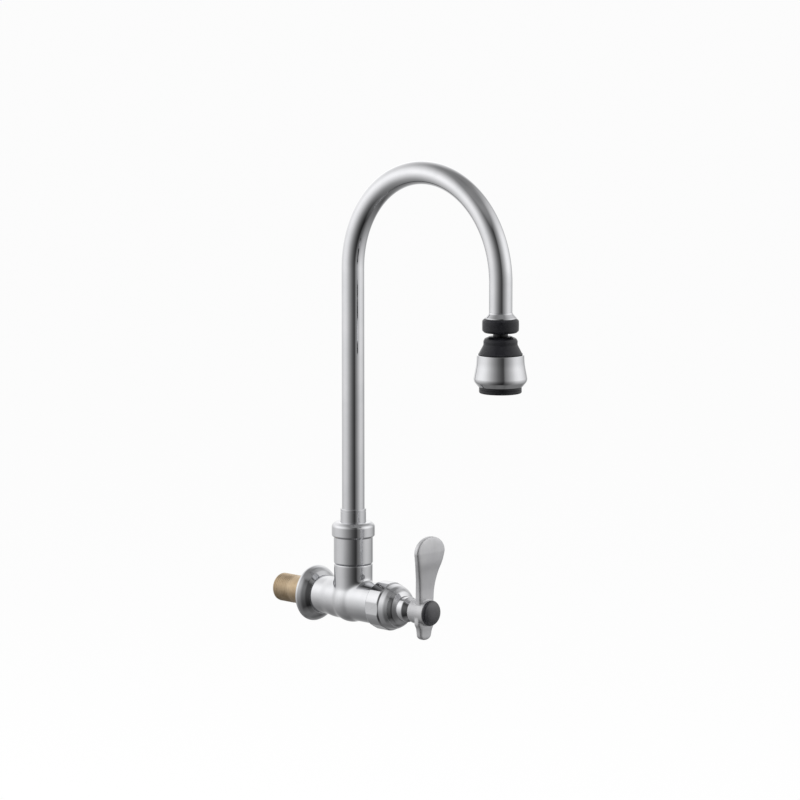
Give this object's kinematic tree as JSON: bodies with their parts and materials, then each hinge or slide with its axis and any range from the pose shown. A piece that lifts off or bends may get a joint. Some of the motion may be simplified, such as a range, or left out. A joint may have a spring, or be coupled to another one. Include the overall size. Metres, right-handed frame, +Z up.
{
  "type": "wall-mounted gooseneck faucet",
  "caption": "Chrome wall-mounted faucet for one cold supply: lever valve, tall swinging gooseneck spout, and a ball-jointed spray head whose bell slides to choose stream or spray.",
  "frame": {"origin": "on the inlet axis, in the plane of the wall's face, where the wall flange bears", "axes": "+Y along the inlet axis into the wall, +Z up, +X to the right of someone who faces the faucet"},
  "size_m": [0.0424, 0.2463, 0.3546],
  "materials": {
    "polished_chrome": "bright chrome plate on brass, polished",
    "lever_chrome": "chrome plate on a cast lever, slightly soft",
    "plain_brass": "unplated turned brass with a dull sheen",
    "black_plastic": "black moulded plastic, satin",
    "white_plastic": "off-white low-friction plastic",
    "rubber": "black rubber, dull",
    "stainless_steel": "stainless steel, fine turned finish",
    "ceramic": "lapped off-white ceramic"
  },
  "bodies": {
    "root": {"inlet_nipple": "plain_brass", "inlet_screen": "stainless_steel", "wall_flange": "polished_chrome", "flange_grip_ring": "rubber", "wall_gasket": "rubber", "valve_body": "polished_chrome", "spout_nut": "polished_chrome", "lower_spout_washer": "white_plastic", "bonnet_nut": "polished_chrome", "stem_dome": "polished_chrome", "cartridge_shell": "plain_brass", "shell_o_ring": "rubber", "seat_seal": "rubber", "fixed_disc": "ceramic"},
    "handle": {"valve_stem": "plain_brass", "stem_o_rings": "rubber", "stem_clip": "stainless_steel", "slip_washer": "white_plastic", "moving_disc": "ceramic", "lever_handle": "lever_chrome", "handle_screw": "stainless_steel", "screw_cap": "black_plastic"},
    "spout": {"spout_shank": "plain_brass", "spout_o_rings": "rubber", "upper_spout_washer": "white_plastic", "spout_sleeve": "polished_chrome", "gooseneck_tube": "polished_chrome", "outlet_tip": "polished_chrome", "flow_regulator": "white_plastic", "swivel_collar": "black_plastic"},
    "ball_ring": {"ball_seat": "white_plastic"},
    "head": {"ball_stud": "black_plastic", "head_cap": "black_plastic", "head_core": "black_plastic", "core_o_ring": "rubber"},
    "bell": {"spray_bell": "polished_chrome", "spray_face": "black_plastic", "aerator_insert": "white_plastic"}
  },
  "joints": [
    {"name": "handle_turn", "type": "hinge", "parent": "root", "child": "handle", "pos_m": [0, -0.1164, 0], "axis": [0, -1, 0], "range_deg": [0, 90]},
    {"name": "spout_swing", "type": "hinge", "parent": "root", "child": "spout", "pos_m": [0, -0.041, 0.04], "axis": [0, 0, 1], "range_deg": [-90, 90]},
    {"name": "head_swivel", "type": "hinge", "parent": "spout", "child": "ball_ring", "pos_m": [0, -0.191, 0.21884], "axis": [0, 0, 1], "continuous": true},
    {"name": "head_tilt", "type": "hinge", "parent": "ball_ring", "child": "head", "pos_m": [0, -0.191, 0.21884], "axis": [1, 0, 0], "range_deg": [-15, 15]},
    {"name": "spray_select", "type": "slide", "parent": "head", "child": "bell", "axis": [0, 0, -1], "range_m": [0, 0.0045]}
  ]
}
